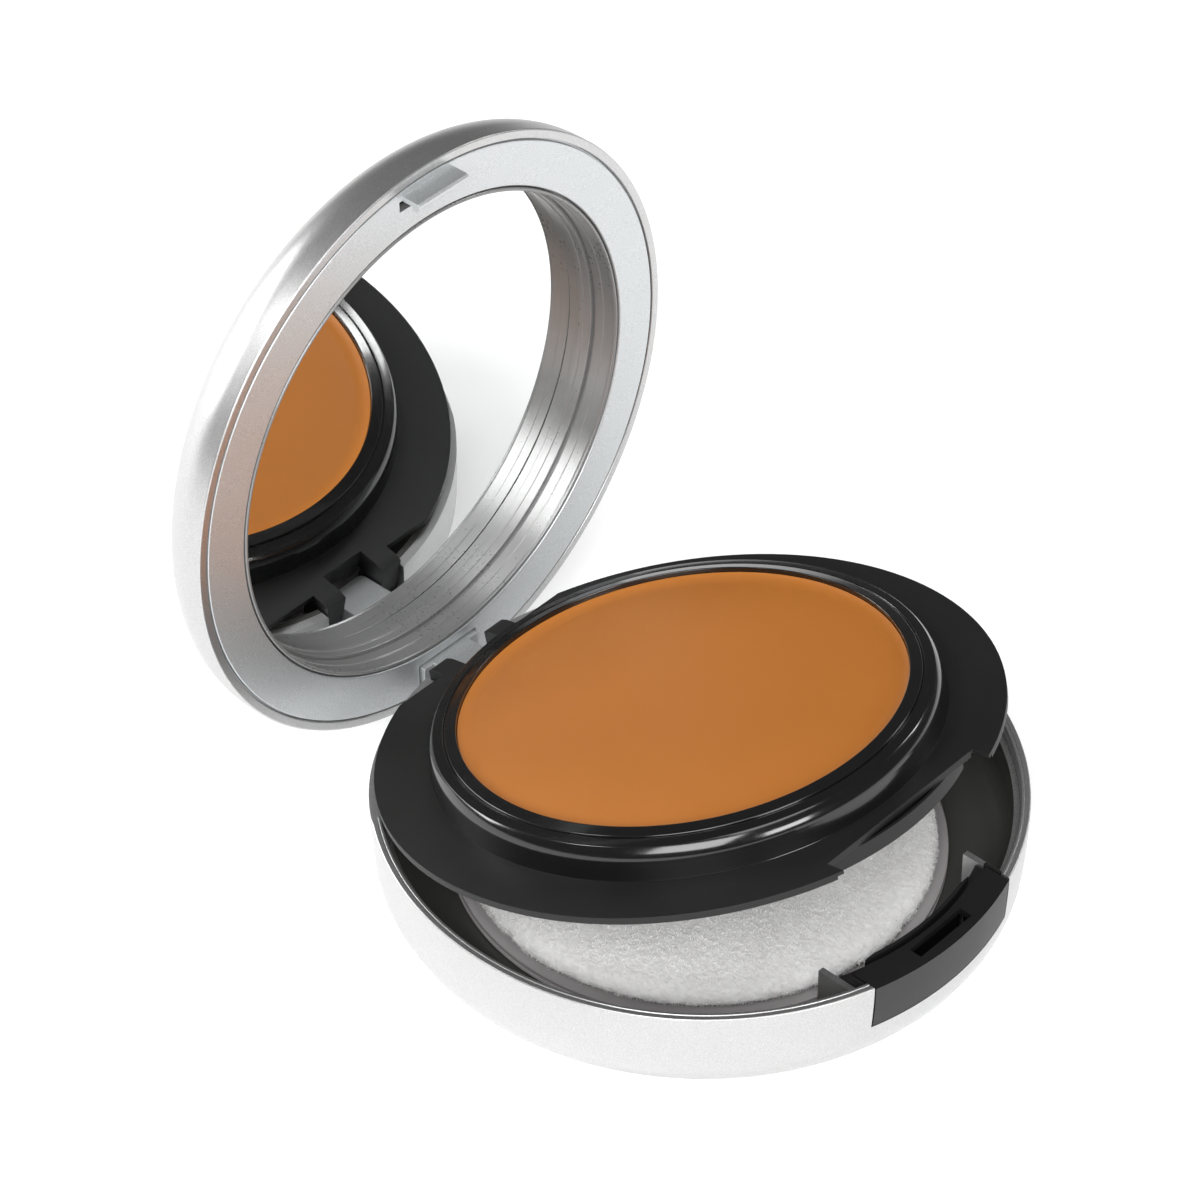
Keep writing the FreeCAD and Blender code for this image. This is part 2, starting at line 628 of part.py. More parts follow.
def make_pan_ring():
    """Glossy collar: drawn side, round shoulder, land, fine groove, inner lip over the pan."""
    base = flange_top
    pan_space = sizes.pan_radius + sizes.pan_clearance
    side_top = ring_radius - sizes.ring_draft
    land_out = side_top - sizes.ring_shoulder_in
    land_in = land_out - sizes.ring_land_width
    # The shoulder arc runs between two known points; its centre lies inside the ring.
    rise = sizes.ring_top - sizes.ring_side
    half_chord = (sizes.ring_shoulder_in * sizes.ring_shoulder_in + rise * rise).root() / 2
    drop = side(sizes.ring_shoulder_radius, half_chord)
    mid_across = (side_top + land_out) / 2
    mid_up = base + (sizes.ring_side + sizes.ring_top) / 2
    centre_across = mid_across - drop * rise / (half_chord * 2)
    centre_up = mid_up - drop * sizes.ring_shoulder_in / (half_chord * 2)
    land_top = base + sizes.ring_top + sizes.ring_land_rise
    groove_in = land_in - sizes.ring_groove
    lip_top = base + sizes.lip_height
    lip_under = lip_top - sizes.lip_thickness
    return turned("pan_ring", [
        (pan_space, base), (ring_radius, base), (side_top, base + sizes.ring_side),
        (land_out, base + sizes.ring_top, sizes.ring_shoulder_radius, centre_across, centre_up),
        (land_in, land_top), (land_in, land_top - sizes.ring_groove),
        (groove_in, land_top - sizes.ring_groove), (groove_in, land_top),
        (lip_radius + sizes.lip_edge, lip_top), (lip_radius, lip_top - sizes.lip_edge),
        (lip_radius, lip_under), (pan_space, lip_under),
    ])


def make_pan_adhesive():
    return puck("pan_adhesive", sizes.pan_radius - sizes.adhesive_inset, flange_top, pan_low)


def make_pan():
    base = pan_low
    top = flange_top + sizes.lip_height - sizes.lip_thickness - sizes.cream_clearance
    inside = sizes.pan_radius - sizes.pan_wall
    return turned("pan", [
        (0, base), (sizes.pan_radius, base), (sizes.pan_radius, top), (inside, top),
        (inside, base + sizes.pan_wall), (0, base + sizes.pan_wall),
    ])


def make_cream():
    low = pan_low + sizes.pan_wall
    wide = sizes.pan_radius - sizes.pan_wall
    step = flange_top + sizes.lip_height - sizes.lip_thickness - sizes.cream_clearance
    top = flange_top + sizes.lip_height - sizes.cream_drop
    narrow = lip_radius - sizes.cream_clearance
    return turned("cream", [(0, low), (wide, low), (wide, step), (narrow, step), (narrow, top), (0, top)])


# ---- lid ----------------------------------------------------------------------------------

def lid_section(inset):
    """Lid section from the rim up: straight side, corner arc, crown arc to the axis."""
    corner = sizes.lid_corner_radius
    corner_across = sizes.body_radius - corner
    corner_up = lid_rim + sizes.lid_side_height
    reach = sizes.lid_crown_radius - corner
    crown_centre = corner_up - side(reach, corner_across)
    crown = sizes.lid_crown_radius - inset
    share = crown / reach
    join_across = corner_across * share
    join_up = crown_centre + (corner_up - crown_centre) * share
    across = sizes.body_radius - inset
    return [
        (across, lid_rim), (across, corner_up),
        (join_across, join_up, corner - inset, corner_across, corner_up),
        (0, crown_centre + crown, crown, 0, crown_centre),
    ]


def make_lid_shell():
    outside = lid_section(as_size(0))
    inside = lid_section(sizes.shell_wall)
    inside_back = [
        inside[3][:2],
        (*inside[2][:2], *inside[3][2:]),
        (*inside[1][:2], *inside[2][2:]),
        inside[0][:2],
    ]
    return turned("lid_shell", outside + inside_back)


frame_back = lid_rim + sizes.frame_thickness
arm_window = sizes.arm_root_half_width + sizes.frame_clearance


def make_mirror_frame():
    """Flat ring with the latch hook at the front and a window for the hinge arm at the rear."""
    outside = inner_radius - sizes.frame_clearance
    bonded = inner_radius - sizes.fit_gap
    groove_top = lid_rim + sizes.frame_thickness / 2
    ring = turned("frame_ring", [
        (frame_opening, lid_rim), (outside, lid_rim), (outside, groove_top),
        (bonded, groove_top), (bonded, frame_back), (frame_opening, frame_back),
    ])
    window = block("frame_arm_window",
                   (-arm_window, knuckle_front - sizes.frame_clearance, 0),
                   (arm_window, sizes.body_radius, frame_back + past))
    hole = block("frame_hook_hole",
                 (-(sizes.hook_half_width + sizes.latch_side_gap), -hook_in, 0),
                 (sizes.hook_half_width + sizes.latch_side_gap, -(hook_in - sizes.hook_window),
                  frame_back + past))
    ring = cut("frame_with_windows", ring, fuse("frame_windows", window, hole))
    barb_top = hook_bottom + sizes.barb_height
    hook = slab("frame_hook", sizes.hook_half_width, [
        (-hook_out, lid_rim + sizes.frame_thickness / 2), (-hook_out, hook_bottom + sizes.barb_height / 2),
        (-hook_in, hook_bottom), (-barb_tip, barb_top - sizes.barb_height / 2), (-barb_tip, barb_top),
        (-hook_in, barb_top), (-hook_in, lid_rim + sizes.frame_thickness / 2),
    ])
    return fuse("mirror_frame", ring, hook)


def make_lid_hinge_arm():
    """Root plate behind the frame, wide root through its window, narrow arm down to the pin."""
    front, back = knuckle_front, knuckle_back
    root_low = flange_top + sizes.arm_root_gap
    root = block("arm_root", (-sizes.arm_root_half_width, front, root_low),
                 (sizes.arm_root_half_width, back, frame_back + sizes.frame_thickness))
    wing = sizes.arm_root_half_width + sizes.arm_plate_wing
    plate = block("arm_plate", (-wing, front - sizes.arm_plate_front, frame_back),
                  (wing, back - sizes.knuckle_gap, frame_back + sizes.frame_thickness))
    neck = block("arm_neck", (-sizes.arm_half_width, front, hinge_z),
                 (sizes.arm_half_width, back, frame_back))
    roll = barrel("arm_roll", sizes.knuckle_radius, -sizes.arm_half_width, sizes.arm_half_width)
    whole = fuse("arm_whole", root, plate, neck, roll)
    bore = barrel("arm_bore", sizes.pin_radius + sizes.pin_clearance, -sizes.body_radius,
                  sizes.body_radius)
    return cut("lid_hinge_arm", whole, bore)


def make_mirror_bezel():
    """Slim trim ring: bead in front, stepped inner wall, flange behind the frame, mirror seat."""
    outside = frame_opening - sizes.bezel_gap
    inside = outside - sizes.bezel_bead
    bead = sizes.bezel_bead / 2
    bead_centre = outside - bead
    bead_up = lid_rim + bead + sizes.fit_gap
    flange = frame_opening + sizes.bezel_flange
    flange_low = frame_back + sizes.fit_gap
    flange_high = flange_low + sizes.bezel_wall
    wall = inside + sizes.bezel_wall
    step = lid_rim + sizes.bezel_step_depth
    seat = lid_rim + sizes.mirror_depth
    rim_in = mirror_radius + sizes.pan_clearance
    rim_out = rim_in + sizes.bezel_wall
    return turned("mirror_bezel", [
        (inside, step), (inside, bead_up),
        (bead_centre, bead_up - bead, bead, bead_centre, bead_up),
        (outside, bead_up, bead, bead_centre, bead_up),
        (outside, flange_low), (flange, flange_low), (flange, flange_high), (wall, flange_high),
        (wall, seat - sizes.bezel_wall), (rim_out, seat - sizes.bezel_wall),
        (rim_out, seat + sizes.mirror_thickness / 2), (rim_in, seat + sizes.mirror_thickness / 2),
        (rim_in, seat), (inside - sizes.bezel_step, seat), (inside - sizes.bezel_step, step),
    ])


mirror_back = lid_rim + sizes.mirror_depth + sizes.mirror_thickness


def make_mirror():
    return puck("mirror", mirror_radius, lid_rim + sizes.mirror_depth, mirror_back)


def make_mirror_pad():
    crown = sizes.lid_crown_radius - sizes.shell_wall
    corner_up = lid_rim + sizes.lid_side_height
    crown_centre = corner_up - side(sizes.lid_crown_radius - sizes.lid_corner_radius,
                                    sizes.body_radius - sizes.lid_corner_radius)
    top = crown_centre + side(crown, sizes.mirror_pad_radius)
    return puck("mirror_pad", sizes.mirror_pad_radius, mirror_back, top)


# ---- assembly -----------------------------------------------------------------------------

BASE = (make_base_shell, make_base_label, make_base_liner, make_hinge_pin, make_latch_housing,
        make_return_spring, make_puff_backing, make_puff_pad, make_latch_button)
TRAY = (make_tray_frame,)
TRAY_FILLING = (make_pan_ring, make_pan_adhesive, make_pan, make_cream)
LID = (make_lid_shell, make_mirror_frame, make_lid_hinge_arm, make_mirror_bezel, make_mirror,
       make_mirror_pad)


def assemble():
    """Make every piece, then swing the tray and the lid open about the hinge pin."""
    axis = Vector(0, hinge_y.number, hinge_z.number)

    def swing(angle):
        return Placement(Vector(), Rotation(Vector(1, 0, 0), -angle.number), axis)

    forwards = Placement(Vector(0, -sizes.tray_shift.number, 0), Rotation())
    tray_open = swing(sizes.tray_open_angle)
    groups = (
        (BASE, Placement()),
        (TRAY, tray_open),
        (TRAY_FILLING, tray_open.multiply(forwards)),
        (LID, swing(sizes.lid_open_angle)),
    )
    nodes = {}
    for makers, pose in groups:
        for make in makers:
            piece = make()
            piece.Label = make.__name__.removeprefix("make_")
            doc.recompute()
            piece.Placement = pose.multiply(piece.Placement)
            nodes[piece.Label] = piece
    doc.recompute()
    return nodes


def check(nodes):
    for thing in doc.Objects:
        if "Invalid" in thing.State or "Error" in thing.State:
            raise RuntimeError(f"{thing.Name} failed: {thing.State}")
    for node, piece in nodes.items():
        if piece.Shape.isNull() or not piece.Shape.isValid():
            raise RuntimeError(f"{node} has no valid shape")


nodes = assemble()
check(nodes)
os.makedirs("parts", exist_ok=True)
for node, piece in nodes.items():
    piece.Shape.exportStep(f"parts/{node}.step")
    print(node, "solids", len(piece.Shape.Solids), "volume", round(piece.Shape.Volume, 1))
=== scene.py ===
import json
import math

import bmesh
import bpy
from mathutils import Matrix, Vector


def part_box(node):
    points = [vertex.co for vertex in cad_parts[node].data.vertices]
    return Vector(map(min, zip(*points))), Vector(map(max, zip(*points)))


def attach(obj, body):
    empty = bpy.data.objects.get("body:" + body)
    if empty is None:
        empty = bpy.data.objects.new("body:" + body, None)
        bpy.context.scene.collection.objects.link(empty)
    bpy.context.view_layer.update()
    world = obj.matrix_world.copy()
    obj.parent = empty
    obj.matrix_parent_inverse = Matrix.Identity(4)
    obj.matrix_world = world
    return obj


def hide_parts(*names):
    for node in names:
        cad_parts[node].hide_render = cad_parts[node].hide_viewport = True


# A round makeup compact, standing open: silver base and lid, mirror, lift-up pan tray, puff, latch.
# Pieces are drawn shut and in millimetres, then swung open about the hinge pin and set in metres.

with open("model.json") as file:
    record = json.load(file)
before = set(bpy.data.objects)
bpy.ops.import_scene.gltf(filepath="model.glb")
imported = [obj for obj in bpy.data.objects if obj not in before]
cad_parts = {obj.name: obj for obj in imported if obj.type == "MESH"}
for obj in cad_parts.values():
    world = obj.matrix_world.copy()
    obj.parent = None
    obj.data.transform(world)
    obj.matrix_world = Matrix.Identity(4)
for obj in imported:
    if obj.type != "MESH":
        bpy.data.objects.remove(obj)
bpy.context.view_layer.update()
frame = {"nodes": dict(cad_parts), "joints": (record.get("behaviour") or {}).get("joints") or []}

MM = 0.001
STEPS = 240                      # faces round a full turn

# ---- sizes, in millimetres, with the compact shut ------------------------------------------

joints = {joint["name"]: joint for joint in frame["joints"]}
HINGE = Vector(joints["tray_hinge"]["pos_m"]) / MM
TRAY_OPEN = -joints["tray_hinge"]["range_deg"][0]
LID_OPEN = TRAY_OPEN - joints["lid_hinge"]["range_deg"][0]

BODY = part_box("base_shell")[1].x / MM
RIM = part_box("base_shell")[1].z / MM
LID_RIM = RIM + 0.2
WALL = 1.2
SIDE_RADIUS = 100.0
BASE_CORNER = 6.5
LID_SIDE = 1.8
LID_CORNER = 7.3
LID_CROWN = 700.0
RIM_LAND = 0.16                  # how deep the rim's grained finish goes; its darker colour there is painted shade
PAST = 3.0                       # cutters run this far past what they cut

BUTTON_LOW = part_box("latch_button")[0].z / MM + 0.8
NOTCH_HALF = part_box("latch_button")[1].x / MM + 0.2
NOTCH_FLOOR = BUTTON_LOW - 0.2
NOTCH_DEEP = 9.0
BAY_WALL = 1.6                   # the two walls beside the latch
BAY_WALL_END = BODY - 9.6
BAY_WALL_LOW = 4.0
REAR_WIDE_HALF = 6.8
REAR_WIDE_FLOOR = HINGE.z - 2.2
REAR_ARM_HALF = 3.4
REAR_ARM_FLOOR = HINGE.z - 4.3
KNUCKLE = 2.0
RELIEF_FORE = 12.2
RELIEF_SLOPE = 0.18

FRAME_OPENING = 32.78
ARM_WINDOW_HALF = 5.15
FRAME_THICK = 1.2
FRAME_EDGE = BODY - WALL - 0.25
MIRROR_DEPTH = 5.65
MIRROR_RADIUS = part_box("mirror")[1].x / MM
HOOK_OUT = BODY - 2.25
HOOK_THICK = 0.7
HOOK_HALF = 4.2
HOOK_LOW = LID_RIM - 2.8
HOOK_HOLE_HALF = HOOK_HALF + 0.45
HOOK_HOLE_DEEP = 1.4

FLANGE_TOP = RIM - 0.7
TRAY_SHIFT = 0.27
RING_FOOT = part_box("pan_ring")[1].x / MM
LIP_RADIUS = 27.5
LIP_TOP = FLANGE_TOP + 5.05
CREAM_TOP = LIP_TOP - 0.6
PAN_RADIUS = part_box("pan")[1].x / MM

PUFF_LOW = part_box("puff_pad")[0].z / MM
PUFF_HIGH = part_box("puff_pad")[1].z / MM
PUFF_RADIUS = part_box("puff_pad")[1].x / MM
BACKING_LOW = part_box("puff_backing")[0].z / MM
BACKING_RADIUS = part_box("puff_backing")[1].x / MM


# ---- mesh tools ----------------------------------------------------------------------------

def piece_from(name, bm):
    """Turn a bmesh into an object."""
    bmesh.ops.remove_doubles(bm, verts=bm.verts, dist=1e-5)
    bmesh.ops.recalc_face_normals(bm, faces=bm.faces)
    mesh = bpy.data.meshes.new(name)
    bm.to_mesh(mesh)
    bm.free()
    piece = bpy.data.objects.new(name, mesh)
    bpy.context.scene.collection.objects.link(piece)
    return piece


def arc(centre, radius, start, end, steps=14):
    """Points on an arc, angles in degrees."""
    turns = [math.radians(start + (end - start) * i / steps) for i in range(steps + 1)]
    return [(centre[0] + radius * math.cos(t), centre[1] + radius * math.sin(t)) for t in turns]


def soften(corners, steps=4):
    """Round the corners of a closed outline. A corner is (across, up) or (across, up, rounding)."""
    points = []
    for index, corner in enumerate(corners):
        here = Vector(corner[:2])
        rounding = corner[2] if len(corner) > 2 else 0.0
        if rounding == 0.0:
            points.append(tuple(here))
            continue
        before = Vector(corners[index - 1][:2]) - here
        after = Vector(corners[(index + 1) % len(corners)][:2]) - here
        start = here + before.normalized() * min(rounding, before.length * 0.45)
        end = here + after.normalized() * min(rounding, after.length * 0.45)
        for i in range(steps + 1):
            t = i / steps
            points.append(tuple(start * (1 - t) ** 2 + here * 2 * t * (1 - t) + end * t ** 2))
    return points


def lathe(name, outline, second=None):
    """Turn a closed outline of (radius, height) about Z; faces that second() picks take finish 1."""
    bm = bmesh.new()
    rings = []
    for radius, height in outline:
        if radius < 1e-6:
            rings.append([bm.verts.new((0, 0, height))] * STEPS)
            continue
        turns = [2 * math.pi * i / STEPS for i in range(STEPS)]
        rings.append([bm.verts.new((radius * math.cos(t), radius * math.sin(t), height)) for t in turns])
    for index, ring in enumerate(rings):
        after = rings[(index + 1) % len(rings)]
        for i in range(STEPS):
            j = (i + 1) % STEPS
            corners = list(dict.fromkeys((ring[i], ring[j], after[j], after[i])))
            if len(corners) > 2:
                face = bm.faces.new(corners)
                if second and second(face.calc_center_median()):
                    face.material_index = 1
    return piece_from(name, bm)


def brick(name, low, high):
    """A box between two corners."""
    bm = bmesh.new()
    bmesh.ops.create_cube(bm, size=1.0)
    low, high = Vector(low), Vector(high)
    bmesh.ops.scale(bm, vec=high - low, verts=bm.verts)
    bmesh.ops.translate(bm, vec=(low + high) / 2, verts=bm.verts)
    return piece_from(name, bm)


def prism(name, outline, half_width):
    """A closed (y, z) outline carried across X."""
    bm = bmesh.new()
    face = bm.faces.new([bm.verts.new((-half_width, y, z)) for y, z in outline])
    grown = bmesh.ops.extrude_face_region(bm, geom=[face])["geom"]
    moved = [item for item in grown if isinstance(item, bmesh.types.BMVert)]
    bmesh.ops.translate(bm, vec=(half_width * 2, 0, 0), verts=moved)
    return piece_from(name, bm)


def settle(piece):
    """Apply a piece's modifiers to its mesh."""
    depsgraph = bpy.context.evaluated_depsgraph_get()
    mesh = bpy.data.meshes.new_from_object(piece.evaluated_get(depsgraph), depsgraph=depsgraph)
    piece.modifiers.clear()
    piece.data = mesh


def carve(piece, *cutters):
    """Cut the cutters out of a piece and throw them away."""
    for cutter in cutters:
        step = piece.modifiers.new("carve", "BOOLEAN")
        step.operation = "DIFFERENCE"
        step.solver = "EXACT"
        step.object = cutter
    settle(piece)
    for cutter in cutters:
        bpy.data.objects.remove(cutter)


def dress(piece, edge=0.0, sharp=35.0):
    """Break the sharp edges by a small bevel and shade the faces smooth between them."""
    if edge:
        step = piece.modifiers.new("edges", "BEVEL")
        step.width = edge
        step.segments = 2
        step.limit_method = "ANGLE"
        step.angle_limit = math.radians(sharp)
        step.miter_outer = "MITER_ARC"
        settle(piece)
    piece.data.set_sharp_from_angle(angle=math.radians(sharp))
    step = piece.modifiers.new("normals", "WEIGHTED_NORMAL")
    step.keep_sharp = True
    settle(piece)


def swing(angle):
    """The turn about the hinge pin that opens a leaf by an angle, then millimetres to metres."""
    there = Matrix.Translation(HINGE)
    turn = Matrix.Rotation(math.radians(-angle), 4, "X")
    return Matrix.Scale(MM, 4) @ there @ turn @ there.inverted()


def place(piece, body, node, slot, *finishes, angle=0.0):
    """Open a drawn piece, give it its finishes, and let it stand for its CAD node."""
    piece.data.transform(swing(angle))
    piece.data.materials.clear()
    for finish in finishes:
        piece.data.materials.append(finish)
    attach(piece, body)
    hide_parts(node)


def refined(node, edge, angle=0.0):
    """A shut, millimetre copy of a CAD node with its edges broken."""
    bm = bmesh.new()
    bm.from_mesh(frame["nodes"][node].data)
    bmesh.ops.transform(bm, matrix=swing(angle).inverted(), verts=bm.verts)
    bmesh.ops.remove_doubles(bm, verts=bm.verts, dist=1e-3)
    bmesh.ops.dissolve_limit(bm, angle_limit=math.radians(0.6), verts=bm.verts, edges=bm.edges)
    piece = piece_from(node + "_fine", bm)
    dress(piece, edge)
    return piece


# ---- finishes ------------------------------------------------------------------------------

class Wire:
    """A shader socket that takes part in arithmetic."""

    def __init__(self, finish, socket):
        self.finish = finish
        self.socket = socket

    def worked_out(self, operation, first, second):
        return self.finish.node("ShaderNodeMath", {"operation": operation}, {0: first, 1: second})

    def __add__(self, other):
        return self.worked_out("ADD", self, other)

    def __radd__(self, other):
        return self.worked_out("ADD", other, self)

    def __sub__(self, other):
        return self.worked_out("SUBTRACT", self, other)

    def __rsub__(self, other):
        return self.worked_out("SUBTRACT", other, self)

    def __mul__(self, other):
        return self.worked_out("MULTIPLY", self, other)

    def __rmul__(self, other):
        return self.worked_out("MULTIPLY", other, self)


class Finish:
    """A material built node by node round one Principled shader."""

    def __init__(self, name, **constants):
        self.material = bpy.data.materials.new(name)
        self.material.use_nodes = True
        self.tree = self.material.node_tree
        self.shader = self.tree.nodes["Principled BSDF"]
        self.place = self.node("ShaderNodeTexCoord", out="Object")
        for key, value in constants.items():
            self.shader.inputs[key.replace("_", " ")].default_value = value

    def node(self, kind, settings=None, inputs=None, out=0):
        made = self.tree.nodes.new(kind)
        for key, value in (settings or {}).items():
            if key == "stops":
                self.set_stops(made.color_ramp, value)
            else:
                setattr(made, key, value)
        for key, value in (inputs or {}).items():
            self.feed(made.inputs[key], value)
        return Wire(self, made.outputs[out])

    def feed(self, socket, value):
        if isinstance(value, Wire):
            self.tree.links.new(value.socket, socket)
        else:
            socket.default_value = value

    def set_stops(self, ramp, stops):
        while len(ramp.elements) < len(stops):
            ramp.elements.new(0.5)
        for element, (position, colour) in zip(ramp.elements, stops):
            element.position = position
            element.color = colour

    def noise(self, size, detail=2.0, stretch=(1, 1, 1)):
        """Even noise whose lumps are about size millimetres across."""
        turned = self.node("ShaderNodeMapping", inputs={"Vector": self.place, "Scale": stretch},
                           out="Vector")
        return self.node("ShaderNodeTexNoise",
                         inputs={"Vector": turned, "Scale": 1 / (size * MM), "Detail": detail})

    def blend(self, factor, first, second):
        """Mix two colours."""
        return self.node("ShaderNodeMix", {"data_type": "RGBA"},
                         {"Factor": factor, 6: first, 7: second}, out=2)

    def bump(self, height, depth):
        """Feed the shader's normal from a height, depth in millimetres."""
        raised = self.node("ShaderNodeBump",
                           inputs={"Height": height, "Distance": depth * MM, "Strength": 1.0})
        self.feed(self.shader.inputs["Normal"], raised)

    def vary(self, **wires):
        for key, value in wires.items():
            self.feed(self.shader.inputs[key.replace("_", " ")], value)
        return self


def grey(level):
    return (level, level, level, 1.0)


def silver_lacquer(name, dark, light, roughness, depth, metallic=0.92):
    """Metallic lacquer: fine flakes that sparkle and a slightly uneven gloss."""
    finish = Finish(name, Metallic=metallic)
    flakes = finish.noise(0.12, 2.0)
    clouds = finish.noise(6.0, 2.0)
    contrast = finish.node("ShaderNodeMapRange",
                           inputs={"Value": flakes, "From Min": 0.35, "From Max": 0.68})
    finish.vary(
        Base_Color=finish.blend(contrast, dark, light),
        Roughness=roughness + (flakes - 0.5) * 0.12 + (clouds - 0.5) * 0.04,
    )
    finish.bump(flakes, depth)
    return finish.material


def moulded(name, dark, light, roughness, grain, depth, **constants):
    """Moulded plastic: an even colour broken by fine texture and a little wear in the gloss."""
    finish = Finish(name, **constants)
    pores = finish.noise(grain, 3.0)
    clouds = finish.noise(9.0, 2.0)
    finish.vary(
        Base_Color=finish.blend(clouds, dark, light),
        Roughness=roughness + (clouds - 0.5) * 0.10 + (pores - 0.5) * 0.12,
    )
    finish.bump(pores, depth)
    return finish.material


def cream_finish():
    """Cream makeup: warm tan with a faint mottle, satin, wiped smooth by the filling press."""
    finish = Finish("cream_satin", Specular_IOR_Level=0.35, Subsurface_Weight=0.06,
                    Subsurface_Radius=(0.9, 0.35, 0.15), Subsurface_Scale=0.0012)
    mottle = finish.noise(1.1, 4.0)
    clouds = finish.noise(14.0, 2.0)
    tone = finish.blend(clouds, (0.435, 0.146, 0.021, 1), (0.475, 0.162, 0.025, 1))
    finish.vary(
        Base_Color=finish.blend(mottle * 0.35, tone, (0.470, 0.170, 0.038, 1)),
        Roughness=0.40 + (mottle - 0.5) * 0.15,
    )
    finish.bump(mottle + finish.noise(0.25, 2.0) * 0.4, 0.006)
    return finish.material


def velour_finish(name, dark, light):
    """Short white pile: fibres lean one way; the darker colour between them is painted shade at the
    roots.
    """
    finish = Finish(name, Roughness=0.95, Specular_IOR_Level=0.15, Sheen_Weight=0.25,
                    Sheen_Roughness=0.5)
    pile = finish.noise(0.62, 4.0, stretch=(1.0, 0.75, 1.0))
    brushed = finish.noise(5.0, 2.0)
    # the mix from dark to light is painted shade at the fibre roots, not a colour of the pile
    depth = finish.node("ShaderNodeMapRange",
                        inputs={"Value": pile + (brushed - 0.5) * 0.3, "From Min": 0.3, "From Max": 0.7})
    finish.vary(Base_Color=finish.blend(depth, dark, light))
    finish.bump(pile, 0.20)
    return finish.material


def glass_finish():
    """Silvered mirror glass with the faintest haze."""
    finish = Finish("mirror_silvered", Metallic=1.0)
    haze = finish.noise(12.0, 2.0)
    finish.vary(
        Base_Color=finish.blend(haze, (0.90, 0.91, 0.905, 1), (0.93, 0.94, 0.935, 1)),
        Roughness=0.006 + haze * 0.012,
    )
    return finish.material


SILVER = silver_lacquer("silver_lacquer_satin", grey(0.50), grey(0.66), 0.36, 0.0028)
# the rim's silver: real grain and a rougher gloss, but its darker colour is painted shade on the
# up-facing land
SILVER_RIM_GRAIN_AND_SHADE = silver_lacquer("silver_lacquer_rim_grain_and_shade", grey(0.34), grey(0.56), 0.46, 0.008)
SILVER_FRAME = silver_lacquer("silver_frame_satin", (0.54, 0.56, 0.57, 1), (0.72, 0.74, 0.75, 1), 0.42,
                              0.0055, 0.80)
# the liner is the same silver as the outside; its dark olive grey colour is painted shade
LINER_SHADED = moulded("liner_painted_shade", (0.080, 0.082, 0.075, 1), (0.100, 0.102, 0.094, 1), 0.34, 0.25,
                0.006, Metallic=0.35)
BEZEL = moulded("bezel_smoke", grey(0.24), grey(0.27), 0.30, 0.5, 0.0002, Metallic=0.5)
TRAY = moulded("tray_matte_black", grey(0.006), grey(0.010), 0.52, 0.14, 0.008, Specular_IOR_Level=0.4)
GLOSS = moulded("ring_gloss_black", grey(0.004), grey(0.007), 0.16, 0.6, 0.0012,
                Coat_Weight=0.4, Coat_Roughness=0.08)
SPARKLE = moulded("ring_grained_black", grey(0.006), grey(0.014), 0.27, 0.22, 0.022,
                  Coat_Weight=0.2, Coat_Roughness=0.15)
LIP = moulded("lip_grained_black", (0.006, 0.007, 0.009, 1), (0.012, 0.014, 0.018, 1), 0.38, 0.20, 0.014)
BUTTON = moulded("button_charcoal", grey(0.011), grey(0.016), 0.50, 0.16, 0.010)
# the same charcoal plastic as the button's face, darker as painted shade on the top and the hidden sides
BUTTON_TOP_SHADED = moulded("button_top_painted_shade", grey(0.006), grey(0.010), 0.48, 0.18, 0.008,
                     Specular_IOR_Level=0.35)
HOUSING = moulded("housing_black", grey(0.006), grey(0.010), 0.55, 0.2, 0.008, Specular_IOR_Level=0.35)
STEEL = moulded("steel_drawn", grey(0.50), grey(0.62), 0.30, 0.3, 0.003, Metallic=1.0)
PAN = moulded("pan_aluminium", grey(0.66), grey(0.78), 0.32, 0.4, 0.004, Metallic=1.0)
TAPE = moulded("tape_foam", grey(0.70), grey(0.82), 0.85, 0.3, 0.03)
LABEL = moulded("label_blank", grey(0.72), grey(0.80), 0.38, 0.5, 0.002)
EDGE = moulded("puff_edge_mauve", (0.36, 0.34, 0.345, 1), (0.44, 0.42, 0.425, 1), 0.80, 0.35, 0.02)
CREAM = cream_finish()
# both velour finishes carry painted shade at the fibre roots
VELOUR = velour_finish("puff_velour", (0.80, 0.79, 0.785, 1), (0.93, 0.925, 0.92, 1))
FIBRE = velour_finish("puff_fibre", (0.86, 0.855, 0.85, 1), (0.95, 0.945, 0.94, 1))
MIRROR = glass_finish()

# ---- base ----------------------------------------------------------------------------------

def base_wall(inset):
    """The base's side and lower corner in section, from the rim down to the foot."""
    centre = BODY - SIDE_RADIUS
    reach = SIDE_RADIUS - BASE_CORNER
    drop = RIM - BASE_CORNER
    corner = centre + math.sqrt(reach ** 2 - drop ** 2)
    tilt = math.degrees(math.asin(drop / reach))
    side = arc((centre, RIM), SIDE_RADIUS - inset, 0, -tilt, 8)
    foot = arc((corner, BASE_CORNER), BASE_CORNER - inset, -tilt, -90, 18)
    return side + foot[1:]


def rim_wedge():
    """What the rear rim loses as it falls towards the hinge."""
    front = HINGE.y - RELIEF_FORE
    back = BODY + PAST
    fall = (back - front) * RELIEF_SLOPE
    outline = [(front, RIM), (back, RIM - fall), (back, RIM + PAST), (front, RIM + PAST)]
    return prism("rear_relief", outline, BODY)


